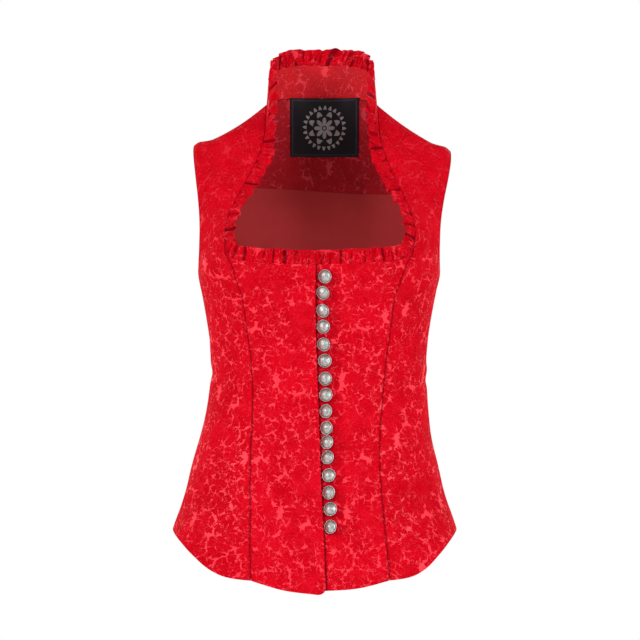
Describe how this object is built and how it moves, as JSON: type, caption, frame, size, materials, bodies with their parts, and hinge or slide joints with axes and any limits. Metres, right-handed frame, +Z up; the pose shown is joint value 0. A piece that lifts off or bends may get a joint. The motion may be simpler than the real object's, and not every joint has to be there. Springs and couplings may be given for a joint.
{
  "type": "dirndl bodice",
  "caption": "Sleeveless fitted bodice with a square ruffled neckline, tall stand collar, buttoned front and curved hem, filled out as when worn.",
  "frame": {"origin": "midway between the wearer's shoulders, level with where they carry the straps, in the plane of the side seams", "axes": "+Z up along the standing body, -Y to the front where the buttons are, -X to the wearer's right"},
  "size_m": [0.3459, 0.2568, 0.6646],
  "materials": {
    "brocade": "red jacquard, satin figure on a matt ground",
    "lining": "plain dark red lining cloth",
    "pewter": "antique pewter, worn bright on the high places",
    "cord": "twisted cord",
    "label": "woven black label"
  },
  "bodies": {
    "root": {"front_centre_right": "brocade", "front_centre_left": "brocade", "side_front_right": "brocade", "side_front_left": "brocade", "side_back_right": "brocade", "side_back_left": "brocade", "centre_back_right": "brocade", "centre_back_left": "brocade", "collar_stand": "brocade", "neck_ruffle_right": "brocade", "collar_ruffle": "brocade", "neck_ruffle_left": "brocade", "back_facing": "brocade", "back_lining": "lining", "neck_label": "label", "button_01": "pewter", "button_02": "pewter", "button_03": "pewter", "button_04": "pewter", "button_05": "pewter", "button_06": "pewter", "button_07": "pewter", "button_08": "pewter", "button_09": "pewter", "button_10": "pewter", "button_11": "pewter", "button_12": "pewter", "button_13": "pewter", "button_14": "pewter", "button_15": "pewter", "button_16": "pewter", "loop_01": "cord", "loop_02": "cord", "loop_03": "cord", "loop_04": "cord", "loop_05": "cord", "loop_06": "cord", "loop_07": "cord", "loop_08": "cord", "loop_09": "cord", "loop_10": "cord", "loop_11": "cord", "loop_12": "cord", "loop_13": "cord", "loop_14": "cord", "loop_15": "cord", "loop_16": "cord"}
  },
  "joints": []
}
